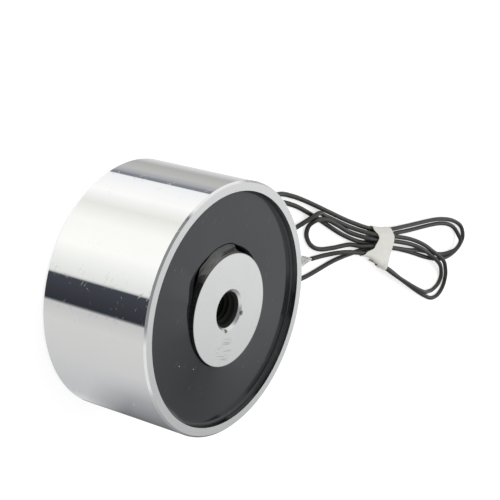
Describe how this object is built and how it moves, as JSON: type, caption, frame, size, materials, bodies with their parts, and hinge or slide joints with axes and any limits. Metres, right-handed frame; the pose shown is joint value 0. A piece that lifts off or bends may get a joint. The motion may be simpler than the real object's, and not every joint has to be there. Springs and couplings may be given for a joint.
{
  "type": "holding electromagnet",
  "caption": "Round pot-type holding electromagnet with a ring of dark potting around a tapped steel core, and thin black leads tied in a flat hank by a soft white band.",
  "frame": {"origin": "centre of the pot's back face", "axes": "+Z along the pot's axis, out of the pole face; +Y the way the tied leads lie"},
  "size_m": [0.053, 0.1339, 0.02],
  "materials": {
    "plated_steel": "bright plated, turned",
    "core_steel": "satin plated, faced",
    "bobbin_plastic": "moulded",
    "copper": "enamelled",
    "tape": "smooth film",
    "sleeve": "shrunk",
    "resin": "cast, glossy",
    "bush_rubber": "moulded",
    "lead_insulation": "extruded",
    "tinned_wire": "tinned",
    "soft_band": "soft, translucent"
  },
  "bodies": {
    "root": {"pot": "plated_steel", "pole_core": "core_steel", "bobbin": "bobbin_plastic", "coil_winding": "copper", "coil_tape": "tape", "coil_tail_start": "copper", "coil_tail_finish": "copper", "splice_sleeve_a": "sleeve", "splice_sleeve_b": "sleeve", "potting_resin": "resin", "lead_bush": "bush_rubber", "lead_a": "lead_insulation", "lead_b": "lead_insulation", "lead_tip_a": "tinned_wire", "lead_tip_b": "tinned_wire", "lead_tie": "soft_band"}
  },
  "joints": []
}
